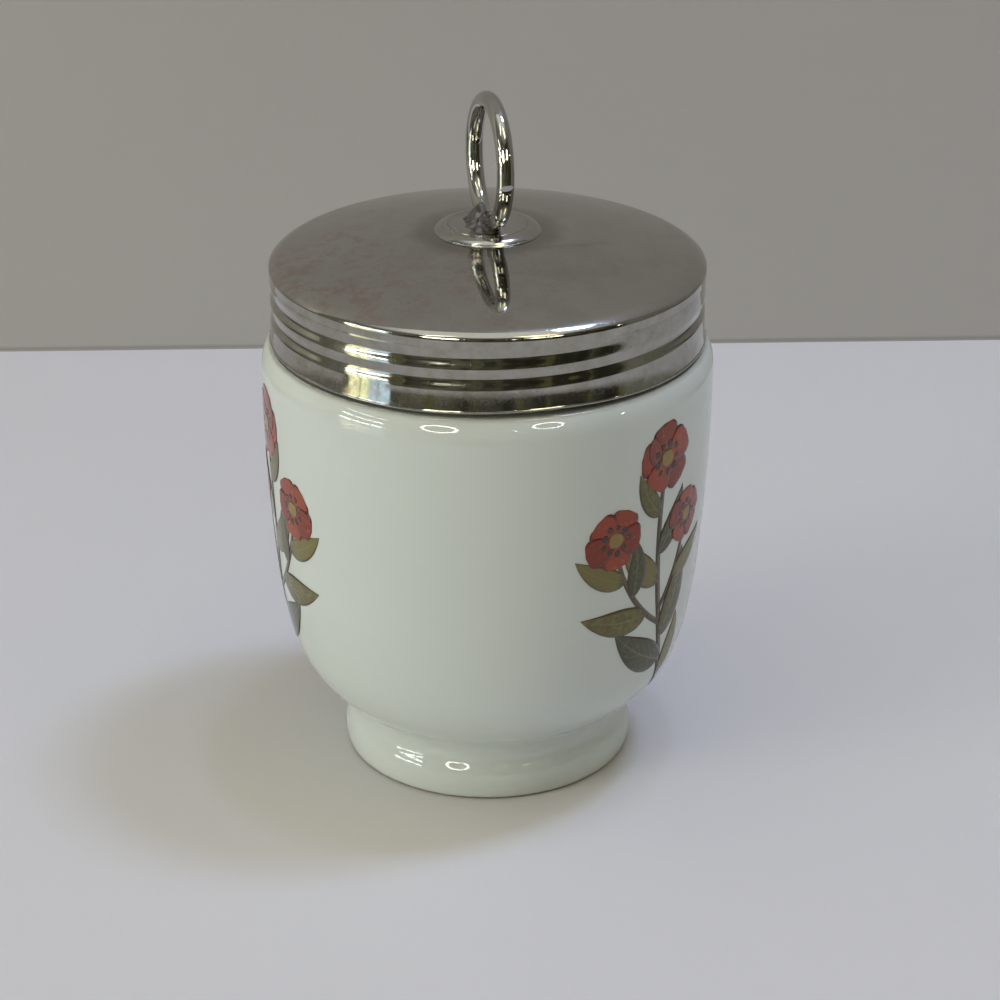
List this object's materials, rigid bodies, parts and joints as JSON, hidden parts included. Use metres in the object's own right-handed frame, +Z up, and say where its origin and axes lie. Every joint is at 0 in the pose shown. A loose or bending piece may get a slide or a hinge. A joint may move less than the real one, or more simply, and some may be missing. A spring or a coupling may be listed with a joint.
{
  "type": "egg coddler",
  "caption": "Footed porcelain cup with a rounded bowl, closed by a domed metal screw lid that has a lifting ring on a small round boss.",
  "frame": {"origin": "centre of the foot, in the plane that it stands on", "axes": "+Z up along the cup's axis; the lifting ring stands in the YZ plane"},
  "size_m": [0.0636, 0.0636, 0.0982],
  "materials": {
    "porcelain": "gloss",
    "plated_lid": "polished, worn",
    "plated_boss": "polished, worn",
    "plated_wire": "polished, worn",
    "solder": "dull, rough"
  },
  "bodies": {
    "cup": {"porcelain_cup": "porcelain"},
    "boss": {"ring_boss": "plated_boss"},
    "lid": {"lid_shell": "plated_lid", "lifting_ring": "plated_wire", "ring_solder": "solder"}
  },
  "joints": [
    {"name": "lid_rise", "type": "slide", "parent": "cup", "child": "boss", "axis": [0, 0, 1], "range_m": [0, 0.0034]},
    {"name": "lid_turn", "type": "hinge", "parent": "boss", "child": "lid", "pos_m": [0, 0, 0.0736], "axis": [0, 0, 1], "range_deg": [0, 420]}
  ],
  "couplings": [
    {"joint": "lid_rise", "follows": "lid_turn", "m_per_rad": 0.00046155}
  ]
}
